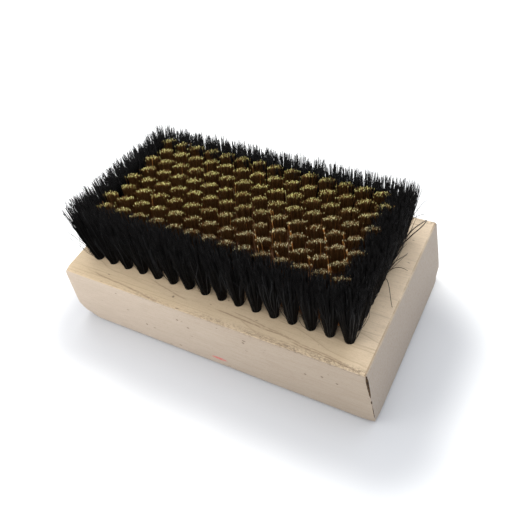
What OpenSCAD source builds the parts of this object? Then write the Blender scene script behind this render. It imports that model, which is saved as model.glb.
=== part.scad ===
// Suede brush: a plain hardwood block with sixteen columns and ten rows of
// tufts. Brass wire tufts fill the middle and a ring of black bristle tufts
// stands round them. The brush lies on its back, so the tufts point up.
// Each tuft is folded over a small flat anchor, whose ends bite into the wood
// near the bottom of its blind hole.
// The two ends of the block slant a little outwards towards its back.
// Origin: middle of the block's flat back. X runs along the block, Z is up.

/* [Block] */
// Length of the wooden block along X, at the face with the tufts
block_l = 105; // [100:1:140]
// How much further each end of the block reaches at the back than at the face
end_flare = 2; // [0:0.1:4]
// Width of the wooden block along Y
block_w = 60; // [54:1:90]
// Thickness of the wooden block
block_h = 25; // [18:0.5:40]
// Rounding of the four edges round the back, where the hand holds it
back_round = 2; // [0.5:0.25:5]

/* [Tuft holes] */
// Distance from an end of the block to the middle of the end tufts
end_margin = 8.4; // [6:0.1:12]
// Distance wanted between neighbouring tufts along a row
wanted_pitch = 5.88; // [5:0.02:6.6]
// Distance from a side of the block to the middle of the outer rows
side_margin = 9; // [7.5:0.1:12]
// Sideways shift of the brass rows, to the right and to the left in turn
row_shift = 1.25; // [0.8:0.05:1.5]
// Diameter of a tuft hole
hole_d = 3; // [2.4:0.1:3.2]
// Depth of a tuft hole below the face of the block
hole_depth = 11; // [6:0.5:14]

/* [Tufts] */
// Gap between a tuft's bound root and the wall of its hole
root_gap = 0.1; // [0.05:0.05:0.3]
// Height of the bound root above the face of the block
root_rise = 1; // [0.4:0.1:2]
// Height of the black bristle tips above the face of the block
black_h = 20; // [10:0.5:30]
// Height of the brass wire tips above the face of the block
brass_h = 19.8; // [10:0.2:30]
// Least gap between the spread tips of two neighbouring black tufts
black_tip_gap = 0.3; // [0.1:0.05:0.8]
// Gap between the spread tips of neighbouring brass tufts in one row
brass_tip_gap_x = 1.1; // [0.4:0.1:2]
// Gap between the spread tips of neighbouring brass rows
brass_tip_gap_y = 1.4; // [0.8:0.1:1.8]
// Outward lean of the black tips, away from the middle of the brush
black_lean = 2.6; // [1:0.1:4]
// Difference in height between the strands of one tuft
tip_step = 0.3; // [0:0.1:1]

/* [Anchors] */
// Length of an anchor along Y, across its hole and into the wood at both ends
anchor_l = 4; // [3.6:0.1:4.4]
// Height of an anchor
anchor_h = 1.8; // [1:0.1:3]
// Thickness of the anchor's flat wire
anchor_t = 0.35; // [0.2:0.05:0.6]
// Thickness of the fold of bristles under an anchor
fold_t = 0.9; // [0.5:0.1:2]
// Gap round an anchor in the fold and in the wood
anchor_gap = 0.03; // [0.01:0.01:0.08]

/* [Hidden] */

// The drilled field: row 0 is the front one, column 0 is at the left end
rows = 10;
last_row = rows - 1;
// Distance between neighbouring rows: the rows keep to the sides of the block
row_pitch = (block_w - 2 * side_margin) / last_row;

// As many columns as come nearest to the wanted pitch, spread evenly over the
// length between the end margins
field_l = block_l - 2 * end_margin;
last_column = round(field_l / wanted_pitch);
columns = last_column + 1;
column_pitch = field_l / last_column;

// Levels, measured from the flat back
hole_floor_z = block_h - hole_depth;
anchor_z = hole_floor_z + fold_t;
root_top_z = block_h + root_rise;

// A tuft: three strands that start inside the rim of its bound root, sunk a
// little into it, and open upwards. Half the width of its spread tips, along
// X and along Y: the black tips make a nearly round tuft, the brass ones a wide one.
strands = 3;
strand_sides = 4;
root_r = hole_d / 2 - root_gap;
strand_rim = 0.08;
strand_base_r = (root_r - strand_rim) * [1, 1];
strand_sink = 0.5;

black_tip_r = [column_pitch - black_tip_gap, row_pitch - black_tip_gap] / 2;
brass_tip_r = [column_pitch - brass_tip_gap_x, row_pitch - brass_tip_gap_y] / 2;

// How full a strand's share of the tuft is at its base, bend and tip
base_fill = 0.94;
bend_fill = 0.88;
tip_fill = 0.8;
// Where a black strand bends outwards, as shares of its height and of its spread
bend_height = 0.4;
bend_spread = 0.3;
// Turn from one tuft to the next, so that neighbours don't look alike
tuft_turn = 37;

// Sides of the round roots and holes, and of the rounded edges
hole_sides = 32;
edge_sides = 48;
// How far a cut runs past the face that it opens
cut_past = 1;

wood_colour = [0.84, 0.76, 0.65];
black_colour = [0.07, 0.07, 0.08];
brass_colour = [0.74, 0.63, 0.26];
steel_colour = [0.62, 0.62, 0.64];

// True for the holes of the black ring round the brass ones
function on_edge(column, row) =
    column == 0 || column == last_column || row == 0 || row == last_row;

// Sideways shift of a hole: the black ring is straight, the brass rows zigzag
function shift_of(column, row) =
    on_edge(column, row) ? 0 : (row % 2 == 1 ? row_shift : -row_shift);

// Centre of a hole on the face of the block
function hole_centre(column, row) = [
    (column - last_column / 2) * column_pitch + shift_of(column, row),
    (row - last_row / 2) * row_pitch
];

// Direction in which a black tuft leans, away from the middle
function lean_of(column, row) = black_lean * [
    column == 0 ? -1 : (column == last_column ? 1 : 0),
    row == 0 ? -1 : (row == last_row ? 1 : 0)
];

function mix(a, b, share) = a + (b - a) * share;

// Point on a ring round the tuft's axis, with its half widths along X and Y in r
function on_ring(r, angle) = [r[0] * cos(angle), r[1] * sin(angle)];

// Four corners of one strand's share of a tuft's section, shrunk by fill about
// its middle, which lies half way out from the axis
function strand_section(axis, r, angle, fill, z) =
    let (
        middle = on_ring(r / 2, angle),
        corners = [
            [0, 0],
            on_ring(r, angle - 180 / strands),
            on_ring(r, angle),
            on_ring(r, angle + 180 / strands)
        ]
    )
    [for (c = corners) let (p = axis + middle + (c - middle) * fill) [p[0], p[1], z]];

// Triangles that close the stack of strand sections, all facing outwards
function strand_faces(levels) =
    let (
        n = strand_sides,
        top = (levels - 1) * n
    )
    concat(
        [[0, 1, 2], [0, 2, 3]],
        [
            for (level = [0 : levels - 2], k = [0 : n - 1])
                let (a = level * n + k, b = level * n + (k + 1) % n)
                each [[a, a + n, b], [b, a + n, b + n]]
        ],
        [[top, top + 2, top + 1], [top, top + 3, top + 2]]
    );

// One strand, from inside the bound root to its blunt tip
module strand(centre, lean, tip_r, angle, tip_z, bends) {
    base = strand_section(centre, strand_base_r, angle, base_fill, root_top_z - strand_sink);
    bend = strand_section(
        centre + lean * bend_spread,
        mix(strand_base_r, tip_r, bend_spread),
        angle,
        bend_fill,
        mix(root_top_z, tip_z, bend_height)
    );
    tip = strand_section(centre + lean, tip_r, angle, tip_fill, tip_z);
    sections = bends ? [base, bend, tip] : [base, tip];
    polyhedron(
        points = [for (section = sections) each section],
        faces = strand_faces(len(sections))
    );
}

// One folded tuft: its round bound root with the window for the anchor, and
// the strands that rise from it
module tuft(column, row, lean, tip_r, top_z, bends) {
    centre = hole_centre(column, row);
    turn = tuft_turn * (column + columns * row);
    difference() {
        union() {
            translate([centre[0], centre[1], hole_floor_z])
                cylinder(h = root_top_z - hole_floor_z, r = root_r, $fn = hole_sides);
            for (k = [0 : strands - 1])
                strand(centre, lean, tip_r, turn + k * 360 / strands, top_z - k * tip_step, bends);
        }
        anchor_space(column, row);
    }
}

// Flat anchor across its hole, grown by a gap on every side
module anchor_plate(column, row, gap) {
    centre = hole_centre(column, row);
    translate([
        centre[0] - anchor_t / 2 - gap,
        centre[1] - anchor_l / 2 - gap,
        anchor_z - gap
    ])
        cube([anchor_t + 2 * gap, anchor_l + 2 * gap, anchor_h + 2 * gap]);
}

// Space that an anchor takes up in the fold and in the wood
module anchor_space(column, row) {
    anchor_plate(column, row, anchor_gap);
}

// Side view of the block: square at the face, rounded at the back. Each side
// reaches further out at the back by the flare, on a straight slant that runs
// smoothly into the rounding.
module block_profile(width, flare) {
    centre = [width / 2 + flare - back_round, back_round];
    rise = block_h - back_round;
    inset = back_round - flare;
    meet_angle = atan2(rise, inset) - acos(back_round / norm([inset, rise]));
    meet = centre + back_round * [cos(meet_angle), sin(meet_angle)];
    for (side = [-1, 1])
        translate([side * centre[0], back_round])
            circle(r = back_round, $fn = edge_sides);
    polygon([
        [-centre[0], 0], [centre[0], 0],
        meet, [width / 2, block_h],
        [-width / 2, block_h], [-meet[0], meet[1]]
    ]);
}

// Wooden block, with its blind tuft holes and the bites of the anchors
module wood_block() {
    color(wood_colour)
        difference() {
            intersection() {
                translate([0, block_w / 2, 0])
                    rotate([90, 0, 0])
                        linear_extrude(height = block_w)
                            block_profile(block_l, end_flare);
                translate([-block_l / 2 - end_flare, 0, 0])
                    rotate([90, 0, 90])
                        linear_extrude(height = block_l + 2 * end_flare)
                            block_profile(block_w, 0);
            }
            for (row = [0 : last_row], column = [0 : last_column]) {
                centre = hole_centre(column, row);
                translate([centre[0], centre[1], hole_floor_z])
                    cylinder(h = hole_depth + cut_past, d = hole_d, $fn = hole_sides);
                anchor_space(column, row);
            }
        }
}

// A run of black bristle tufts, from one column and row to another
module black_tufts(first_column, end_column, first_row, end_row) {
    color(black_colour)
        for (row = [first_row : end_row], column = [first_column : end_column])
            tuft(column, row, lean_of(column, row), black_tip_r, block_h + black_h, true);
}

// One row of brass wire tufts, between the black ones at its two ends
module brass_tufts(row) {
    color(brass_colour)
        for (column = [1 : last_column - 1])
            tuft(column, row, [0, 0], brass_tip_r, block_h + brass_h, false);
}

// The anchors of one row of tufts
module anchors(row) {
    color(steel_colour)
        for (column = [0 : last_column])
            anchor_plate(column, row, 0);
}

wood_block();
black_tufts(0, last_column, 0, 0);  // black_tufts_front
black_tufts(0, last_column, last_row, last_row);  // black_tufts_back
black_tufts(0, 0, 1, last_row - 1);  // black_tufts_left_end
black_tufts(last_column, last_column, 1, last_row - 1);  // black_tufts_right_end
brass_tufts(1);  // brass_tufts_row_1
brass_tufts(2);  // brass_tufts_row_2
brass_tufts(3);  // brass_tufts_row_3
brass_tufts(4);  // brass_tufts_row_4
brass_tufts(5);  // brass_tufts_row_5
brass_tufts(6);  // brass_tufts_row_6
brass_tufts(7);  // brass_tufts_row_7
brass_tufts(8);  // brass_tufts_row_8
anchors(0);  // anchors_row_1
anchors(1);  // anchors_row_2
anchors(2);  // anchors_row_3
anchors(3);  // anchors_row_4
anchors(4);  // anchors_row_5
anchors(5);  // anchors_row_6
anchors(6);  // anchors_row_7
anchors(7);  // anchors_row_8
anchors(8);  // anchors_row_9
anchors(9);  // anchors_row_10
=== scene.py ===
"""Suede brush, finished for the camera.

The wooden block and every tuft are modelled here in full: eased and worn arrises, blind
tuft holes, a splintered corner, and single hairs and wires that rise from their folded
roots. The anchors keep their shape and get their metal. Sizes are in millimetres in the
classes below, and are turned into metres where a mesh is made. The lamps and the floor
are sized in metres.
"""
import logging
import math
from dataclasses import dataclass, field
from enum import Enum
from functools import cached_property
from typing import Union

import bmesh
import bpy
import numpy as np
from mathutils import Matrix, Vector


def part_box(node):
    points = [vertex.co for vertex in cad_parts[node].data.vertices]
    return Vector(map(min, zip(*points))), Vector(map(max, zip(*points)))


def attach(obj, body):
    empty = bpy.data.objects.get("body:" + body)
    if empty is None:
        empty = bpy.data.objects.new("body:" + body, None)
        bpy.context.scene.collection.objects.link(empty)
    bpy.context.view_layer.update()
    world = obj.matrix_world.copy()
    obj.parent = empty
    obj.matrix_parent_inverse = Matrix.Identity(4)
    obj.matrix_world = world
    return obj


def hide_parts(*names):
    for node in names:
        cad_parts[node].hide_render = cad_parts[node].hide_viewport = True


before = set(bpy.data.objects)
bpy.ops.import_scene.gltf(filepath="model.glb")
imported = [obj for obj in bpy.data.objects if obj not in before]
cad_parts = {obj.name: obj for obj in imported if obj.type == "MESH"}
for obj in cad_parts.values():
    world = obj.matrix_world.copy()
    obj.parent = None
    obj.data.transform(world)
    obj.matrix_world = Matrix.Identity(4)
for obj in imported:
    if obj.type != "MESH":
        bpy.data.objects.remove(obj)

Thing = bpy.types.Object
Material = bpy.types.Material
Socket = bpy.types.NodeSocket
BMesh = bmesh.types.BMesh
BMEdge = bmesh.types.BMEdge
Value = Union[Socket, float, tuple, None]
Chance = np.random.Generator

LOG = logging.getLogger("suede_brush")
BODY = "root"
MM = 0.001
GOLDEN_ANGLE = math.pi * (3.0 - math.sqrt(5.0))


class Slot(str, Enum):
    """Material slots of the record that the new pieces take."""

    WOOD = "wood"
    BLACK = "black_bristle"
    BRASS = "brass_wire"


# Small helpers


def mesh_object(name: str, mesh: bpy.types.Mesh) -> Thing:
    """Put a mesh into the scene, at the origin."""
    thing = bpy.data.objects.new(name, mesh)
    bpy.context.scene.collection.objects.link(thing)
    return thing


def bmesh_object(name: str, bm: BMesh, scale: float = MM, slots: int = 0) -> Thing:
    """Write a bmesh out as an object of the scene, and free it.

    Args:
        name: Name of the object and its mesh.
        bm: The finished bmesh.
        scale: Factor on all places, from millimetres to metres unless given.
        slots: Number of empty material slots.

    Returns:
        The linked object, at the origin.
    """
    for v in bm.verts:
        v.co *= scale
    mesh = bpy.data.meshes.new(name)
    for _ in range(slots):
        mesh.materials.append(None)
    bm.to_mesh(mesh)
    bm.free()
    return mesh_object(name, mesh)


def add_box(bm: BMesh, size: tuple, middle: tuple) -> None:
    """Add a box of a size round its middle."""
    for v in bmesh.ops.create_cube(bm, size=1.0)["verts"]:
        v.co = Vector([v.co[k] * size[k] + middle[k] for k in range(3)])


def add_cylinder(bm: BMesh, radius: float, height: float, sides: int, middle: tuple) -> None:
    """Add an upright cylinder round its middle."""
    place = Matrix.Translation(middle)
    ends = {"radius1": radius, "radius2": radius, "cap_ends": True}
    bmesh.ops.create_cone(bm, segments=sides, depth=height, matrix=place, **ends)


def cut_out(target: Thing, cutter: Thing) -> None:
    """Cut the cutter out of the target for good, and drop the cutter.

    Args:
        target: Object that loses material.
        cutter: Object that is cut out of it.
    """
    step = target.modifiers.new("cut", "BOOLEAN")
    step.operation = "DIFFERENCE"
    step.solver = "EXACT"
    step.object = cutter
    graph = bpy.context.evaluated_depsgraph_get()
    cut = bpy.data.meshes.new_from_object(target.evaluated_get(graph))
    target.modifiers.clear()
    old = target.data
    target.data = cut
    bpy.data.meshes.remove(old)
    cutter_mesh = cutter.data
    bpy.data.objects.remove(cutter)
    bpy.data.meshes.remove(cutter_mesh)


@dataclass(frozen=True)
class Grain:
    """One noise pattern.

    Attributes:
        stretch: Features per millimetre along X, Y and Z.
        seed: Moves the pattern, so that two of them differ.
        detail: Octaves of the noise.
        roughness: Strength of the finer octaves.
    """

    stretch: tuple
    seed: float = 0.0
    detail: float = 2.0
    roughness: float = 0.5


@dataclass(frozen=True)
class Layer:
    """A pattern that shows where its noise is strong.

    Attributes:
        grain: The noise.
        low: Noise at which the layer starts to show.
        high: Noise at which it shows in full.
        share: How much it covers there, from 0 to 1.
    """

    grain: Grain
    low: float
    high: float
    share: float = 1.0


class Nodes:
    """Builds a material, or a world, with a line of code for each node."""

    def __init__(self, name: str, kind: str = "materials") -> None:
        self.owner = getattr(bpy.data, kind).new(name)
        self.owner.use_nodes = True
        self.tree = self.owner.node_tree
        self.tree.nodes.clear()
        self.noises: dict = {}

    def add(self, kind: str, **settings: Value) -> bpy.types.Node:
        """Add a node and set its properties.

        Args:
            kind: Type of the node.
            **settings: Properties to set.

        Returns:
            The new node.
        """
        node = self.tree.nodes.new(kind)
        for key, value in settings.items():
            setattr(node, key, value)
        return node

    def feed(self, socket: Socket, value: Value) -> None:
        """Give an input a link or a plain value.

        Args:
            socket: Input to feed.
            value: A link, or a plain value, or nothing.
        """
        if isinstance(value, Socket):
            self.tree.links.new(value, socket)
        elif value is not None:
            socket.default_value = value

    @cached_property
    def place(self) -> Socket:
        """Place on the object, in millimetres of its own frame."""
        return self.vector("SCALE", self.own("Object"), scale=1.0 / MM)

    def own(self, kind: str) -> Socket:
        """Texture coordinate of the object, such as Object or Normal."""
        return self.add("ShaderNodeTexCoord").outputs[kind]

    def attribute(self, name: str) -> Socket:
        """Number that the mesh carries at each point."""
        return self.add("ShaderNodeAttribute", attribute_name=name).outputs["Fac"]

    def vector(self, operation: str, first: Value, second: Value = None, scale: float = None) -> Socket:
        """Vector maths; gives the number where the operation makes one.

        Args:
            operation: Name of the operation.
            first: First input.
            second: Second input.
            scale: Factor, where the operation takes one.

        Returns:
            The result.
        """
        node = self.add("ShaderNodeVectorMath", operation=operation)
        self.feed(node.inputs[0], first)
        self.feed(node.inputs[1], second)
        if scale is not None:
            self.feed(node.inputs["Scale"], scale)
        numbers = ("LENGTH", "DISTANCE", "DOT_PRODUCT")
        return node.outputs["Value" if operation in numbers else "Vector"]

    def math(self, operation: str, first: Value, second: Value = None, third: Value = None) -> Socket:
        """Plain maths on up to three numbers.

        Args:
            operation: Name of the operation.
            first: First input.
            second: Second input.
            third: Third input.

        Returns:
            The result.
        """
        node = self.add("ShaderNodeMath", operation=operation)
        for socket, value in zip(node.inputs, (first, second, third)):
            self.feed(socket, value)
        return node.outputs[0]

    def times(self, *factors: Value) -> Socket:
        """Product of two or more numbers.

        Args:
            *factors: Links or numbers.

        Returns:
            The product.
        """
        product = factors[0]
        for factor in factors[1:]:
            product = self.math("MULTIPLY", product, factor)
        return product

    def split(self, vector: Value) -> list:
        """X, Y and Z of a vector."""
        node = self.add("ShaderNodeSeparateXYZ")
        self.feed(node.inputs[0], vector)
        return list(node.outputs)

    def reach(self, middle: tuple, half: tuple) -> Socket:
        """Distance from a middle, counted in its half widths along each axis."""
        away = self.vector("SUBTRACT", self.place, middle)
        return self.vector("LENGTH", self.vector("DIVIDE", away, half))

    def noise(self, grain: Grain) -> Socket:
        """Noise from 0 to 1, made once for each pattern.

        Args:
            grain: The pattern.

        Returns:
            The noise's value.
        """
        if grain not in self.noises:
            scaled = self.vector("MULTIPLY", self.place, grain.stretch)
            shift = (grain.seed, grain.seed * 0.7, grain.seed * 1.3)
            node = self.add("ShaderNodeTexNoise")
            self.feed(node.inputs["Vector"], self.vector("ADD", scaled, shift))
            self.feed(node.inputs["Scale"], 1.0)
            self.feed(node.inputs["Detail"], grain.detail)
            self.feed(node.inputs["Roughness"], grain.roughness)
            self.noises[grain] = node.outputs["Fac"]
        return self.noises[grain]

    def ramp(self, value: Value, low: float, high: float, start: float = 0.0, end: float = 1.0) -> Socket:
        """Map a number smoothly from one range to another, and clamp it.

        Args:
            value: Number to map.
            low: Number where the range starts.
            high: Number where it ends.
            start: Result at the start.
            end: Result at the end.

        Returns:
            The mapped number.
        """
        node = self.add("ShaderNodeMapRange", interpolation_type="SMOOTHSTEP")
        for key, number in zip(
            ("Value", "From Min", "From Max", "To Min", "To Max"), (value, low, high, start, end)
        ):
            self.feed(node.inputs[key], number)
        return node.outputs["Result"]

    def band(self, value: Value, start: float, full: float, fade: float, end: float) -> Socket:
        """Rise smoothly to 1 and fall smoothly back to 0."""
        return self.times(self.ramp(value, start, full), self.ramp(value, fade, end, 1.0, 0.0))

    def layer(self, layer: Layer) -> Socket:
        """How much of a layer shows at each place."""
        return self.ramp(self.noise(layer.grain), layer.low, layer.high, 0.0, layer.share)

    def blend(self, share: Value, first: Value, second: Value) -> Socket:
        """Mix two colours.

        Args:
            share: Share of the second colour.
            first: First colour.
            second: Second colour.

        Returns:
            The mixed colour.
        """
        node = self.add("ShaderNodeMix", data_type="RGBA", blend_type="MIX")
        for socket, value in ((0, share), (6, first), (7, second)):
            self.feed(node.inputs[socket], value)
        return node.outputs[2]

    def coats(self, color: Value, *coats: Value) -> Socket:
        """Lay coats over a colour, each with its share and its own colour."""
        for share, coat in coats:
            color = self.blend(share, color, coat)
        return color

    def bump(self, height: Value, strength: float, depth_mm: float) -> Socket:
        """Bumped normal from a height between 0 and 1.

        Args:
            height: Height, from 0 to 1.
            strength: Strength of the bump.
            depth_mm: Depth in millimetres.

        Returns:
            The bumped normal.
        """
        node = self.add("ShaderNodeBump")
        self.feed(node.inputs["Height"], height)
        self.feed(node.inputs["Strength"], strength)
        self.feed(node.inputs["Distance"], depth_mm * MM)
        return node.outputs["Normal"]

    def finish(self, color: Value, roughness: Value, normal: Value = None, **fixed: Value) -> Material:
        """Close the material with its surface shader.

        Args:
            color: Colour, as a link or four numbers.
            roughness: Roughness, as a link or a number.
            normal: Bumped normal, if there is one.
            **fixed: Plain values for the shader's other inputs.

        Returns:
            The finished material.
        """
        shader = self.add("ShaderNodeBsdfPrincipled")
        self.feed(shader.inputs["Base Color"], color)
        self.feed(shader.inputs["Roughness"], roughness)
        self.feed(shader.inputs["Normal"], normal)
        for key, value in fixed.items():
            shader.inputs[key.replace("_", " ")].default_value = value
        output = self.add("ShaderNodeOutputMaterial")
        self.feed(output.inputs["Surface"], shader.outputs[0])
        return self.owner


# Finishes


@dataclass(frozen=True)
class PaleWood:
    """Unfinished pale hardwood, sawn along the grain and sanded.

    Growth layers run along X as shells round an axis far under the block, so that the
    face and the sides show long lines. A streak is a single grain line on the face, from
    one X and Y to another, with its strength. A fleck is a small dark knot.
    """

    face: tuple = (0.580, 0.460, 0.320, 1.0)
    warm: tuple = (0.560, 0.430, 0.280, 1.0)
    # Painted light: a paler colour for the face's right margin, where the bristles' shade is weaker.
    lit_margin: tuple = (0.790, 0.635, 0.470, 1.0)
    side: tuple = (0.500, 0.418, 0.340, 1.0)
    # Painted shade: the sides darken towards the right end, away from the light on the left.
    side_far_shaded: tuple = (0.400, 0.330, 0.262, 1.0)
    end_grain: tuple = (0.350, 0.302, 0.262, 1.0)
    line: tuple = (0.250, 0.170, 0.105, 1.0)
    fleck: tuple = (0.120, 0.082, 0.055, 1.0)
    # Dust and painted shade on the face between the brass tufts.
    dust_and_shade: tuple = (0.260, 0.110, 0.045, 1.0)
    smear: tuple = (0.600, 0.110, 0.120, 1.0)

    top_z: float = 25.0
    half_length: float = 52.5
    half_width: float = 30.0
    end_slope: float = 0.087
    dust_and_shade_half: tuple = (39.0, 16.5)
    # Painted shadow of the front bristles: its middle, and how far it reaches.
    shade: tuple = ((12.0, -27.0, 25.0), (46.0, 14.0, 6.0))
    rub: tuple = ((2.8, -30.0, 4.7), (3.4, 2.0, 0.75))
    streaks: tuple = (
        (-42.8, -27.2, -13.6, -29.8, 0.62),
        (-23.9, -22.8, -5.1, -26.1, 0.50),
        (2.4, -25.6, 30.6, -26.8, 0.75),
        (7.6, -24.3, 47.3, -28.6, 0.55),
        (28.0, -27.4, 51.5, -29.4, 0.85),
        (-50.0, 27.6, 10.0, 26.2, 0.35),
        (14.0, 27.9, 51.0, 26.8, 0.40),
    )
    flecks: tuple = (
        (-24.0, -30.0, 9.3), (-9.4, -30.0, 18.8), (-6.0, -30.0, 16.4), (14.1, -30.0, 19.3),
        (33.6, -30.0, 14.6), (39.0, -30.0, 16.4), (43.5, -30.0, 15.6), (-11.4, -26.3, 25.0),
        (-51.7, -29.3, 24.3),
    )

    tones: Layer = Layer(Grain((0.012, 0.05, 0.05), 15.0), 0.35, 0.65)
    cloud: Layer = Layer(Grain((0.10, 0.22, 0.22), 40.0, 3.0, 0.6), 0.35, 0.72, 0.09)
    fine: Layer = Layer(Grain((0.035, 2.4, 2.4), 71.0), 0.56, 0.74)
    fibre: Layer = Layer(Grain((0.16, 2.6, 2.6), 1.7, 3.0, 0.6), 0.40, 0.80, 0.15)
    thread: Layer = Layer(Grain((0.5, 7.0, 7.0), 5.2), 0.50, 0.80, 0.14)
    grit: Layer = Layer(Grain((2.2, 3.4, 3.4), 9.0, 2.0, 0.7), 0.48, 0.80, 0.26)
    pore: Layer = Layer(Grain((0.9, 5.5, 5.5), 12.0, 1.0), 0.70, 0.80, 0.52)
    pore_patch: Layer = Layer(Grain((0.04, 0.12, 0.12), 21.0, 1.0), 0.40, 0.68)
    speck: Layer = Layer(Grain((0.45, 1.2, 1.2), 33.0, 0.0), 0.80, 0.835, 0.70)
    nick: Layer = Layer(Grain((1.1, 2.4, 2.4), 18.0, 3.0, 0.8), 0.45, 0.58)
    ragged: Layer = Layer(Grain((0.035, 0.05, 0.05), 60.0, 1.0), 0.38, 0.58)
    dab: Layer = Layer(Grain((1.1, 1.0, 2.8), 50.0), 0.34, 0.54)
    saw_dots: Layer = Layer(Grain((3.0, 2.6, 0.9), 2.2, 3.0, 0.7), 0.42, 0.78, 0.50)
    rim_breaks: Layer = Layer(Grain((0.3, 0.16, 0.3), 81.0, 3.0), 0.36, 0.58)
    streak_gaps: Layer = Layer(Grain((0.7, 4.0, 4.0), 67.0, 1.0), 0.30, 0.52)
    streak_wander: Grain = Grain((0.11, 0.10, 0.10), 66.0, 3.0)

    layer_pitch: float = 3.4
    axis_y: float = 34.0
    axis_z: float = -46.0
    slant: float = 0.10
    wander: Grain = Grain((0.014, 0.05, 0.05), 3.1)
    ripple: Grain = Grain((0.06, 0.25, 0.25), 8.4, 3.0)
    faint: Grain = Grain((0.02, 0.10, 0.10), 27.0, 1.0)

    def make(self, name: str = "pale_wood") -> Material:
        """Build the material.

        Args:
            name: Name of the new material.

        Returns:
            The finished material.
        """
        n = Nodes(name)
        x, y, z = n.split(n.place)
        on_top = n.ramp(z, self.top_z - 0.7, self.top_z - 0.1)
        pores = n.times(n.layer(self.pore), n.layer(self.pore_patch))
        torn = self._torn_arris(n, x, y, z)
        end, rim = self._end_masks(n, x, z)

        color = self._plain(n, x, y, on_top)
        color = self._grown(n, color, on_top, self._late_wood(n, x, y, z), x, y)
        color = self._knots(n, n.blend(pores, color, self.fleck))
        stain = n.times(n.ramp(n.reach(*self.rub), 0.55, 1.0, 0.95, 0.0), n.layer(self.dab))
        sawn = n.blend(n.layer(self.saw_dots), self.end_grain, self.line)
        color = n.coats(
            color,
            (n.times(torn, 0.72), self.fleck),
            # Dust and painted shade between the brass tufts.
            (self._dust_and_shade(n, x, y, on_top), self.dust_and_shade),
            (stain, self.smear),
            (rim, self.line),
            (n.times(end, 0.85), sawn),
        )

        fibre, thread = n.noise(self.fibre.grain), n.noise(self.thread.grain)
        dots = n.times(end, n.noise(self.saw_dots.grain))
        height = n.math("MULTIPLY_ADD", fibre, -0.5, n.times(thread, -0.4))
        for dip, depth in ((pores, -1.2), (torn, -1.6), (dots, -0.8)):
            height = n.math("MULTIPLY_ADD", dip, depth, height)
        rough = n.ramp(fibre, 0.2, 0.8, 0.64, 0.80)
        return n.finish(color, rough, n.bump(height, 0.5, 0.12), Specular_IOR_Level=0.25)

    def _plain(self, n: Nodes, x: Socket, y: Socket, on_top: Socket) -> Socket:
        """Broad tones: the warm face, a painted light on its right margin, the sides with a painted shade
        that deepens to the right, and a soft painted shadow of the bristles.

        Args:
            n: The material's nodes.
            x: X on the object, in millimetres.
            y: Y on the object, in millimetres.
            on_top: 1 on the face and 0 on the sides.

        Returns:
            The colour so far.
        """
        face = n.blend(n.layer(self.tones), self.face, self.warm)
        # The sides darken from left to right: painted shade.
        flank = n.blend(n.ramp(x, -35.0, 55.0), self.side, self.side_far_shaded)
        # Painted light on the face's right margin, weaker towards the front.
        pale = n.times(n.ramp(x, 43.0, 49.0, 0.0, 0.74), on_top, n.ramp(y, -27.0, -12.0, 0.42, 1.0))
        return n.coats(
            face,
            (n.math("SUBTRACT", 1.0, on_top), flank),
            (pale, self.lit_margin),
            # Painted shadow of the front bristles.
            (n.ramp(n.reach(*self.shade), 0.2, 1.0, 0.13, 0.0), self.line),
            (n.layer(self.cloud), self.line),
        )

    def _grown(self, n: Nodes, color: Value, on_top: Socket, late: Socket, x: Socket, y: Socket) -> Socket:
        """Grain lines, fine streaks, fibres, threads and grit, stronger on the face.

        Args:
            n: The material's nodes.
            color: Colour under it.
            on_top: 1 on the face and 0 on the sides.
            late: How much late wood shows.
            x: X on the object, in millimetres.
            y: Y on the object, in millimetres.

        Returns:
            The colour so far.
        """
        return n.coats(
            color,
            (n.times(late, n.math("MULTIPLY_ADD", on_top, 0.23, 0.09)), self.line),
            (n.times(n.layer(self.fine), n.math("MULTIPLY_ADD", on_top, 0.19, 0.10)), self.line),
            (n.times(self._streak_lines(n, x, y), on_top), self.line),
            (n.layer(self.fibre), self.line),
            (n.layer(self.thread), self.fleck),
            (n.layer(self.grit), self.line),
        )

    def _knots(self, n: Nodes, color: Value) -> Socket:
        """Specks by chance, and the single flecks.

        Args:
            n: The material's nodes.
            color: Colour under it.

        Returns:
            The colour so far.
        """
        color = n.blend(n.layer(self.speck), color, self.fleck)
        for fleck in self.flecks:
            distance = n.vector("DISTANCE", n.place, fleck)
            ring = n.math("MULTIPLY_ADD", n.noise(self.grit.grain), 0.5, distance)
            color = n.blend(n.ramp(ring, 0.42, 0.80, 0.75, 0.0), color, self.fleck)
        return color

    def _torn_arris(self, n: Nodes, x: Socket, y: Socket, z: Socket) -> Socket:
        """Torn fibres along the long top arrises, more of them to the right.

        Args:
            n: The material's nodes.
            x: X on the object, in millimetres.
            y: Y on the object, in millimetres.
            z: Z on the object, in millimetres.

        Returns:
            How much is torn.
        """
        near = n.ramp(n.math("ABSOLUTE", y), self.half_width - 2.4, self.half_width - 0.6)
        near = n.times(near, n.ramp(z, self.top_z - 1.3, self.top_z - 0.5))
        ragged = n.times(n.layer(self.ragged), n.ramp(x, -42.0, -6.0, 0.10, 1.0))
        ragged = n.math("MAXIMUM", ragged, n.ramp(x, 16.0, 40.0, 0.0, 0.8))
        return n.times(near, n.layer(self.nick), ragged)

    def _dust_and_shade(self, n: Nodes, x: Socket, y: Socket, on_top: Socket) -> Socket:
        """Copper brown dust, and painted shade, between the brass tufts.

        Args:
            n: The material's nodes.
            x: X on the object, in millimetres.
            y: Y on the object, in millimetres.
            on_top: 1 on the face and 0 on the sides.

        Returns:
            How much dust and painted shade there is.
        """
        length, width = self.dust_and_shade_half
        along = n.ramp(n.math("ABSOLUTE", x), length, length + 3.0, 1.0, 0.0)
        across = n.ramp(n.math("ABSOLUTE", y), width, width + 2.0, 1.0, 0.0)
        uneven = n.ramp(n.noise(self.cloud.grain), 0.3, 0.7, 0.70, 0.92)
        return n.times(along, across, on_top, uneven)

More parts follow.
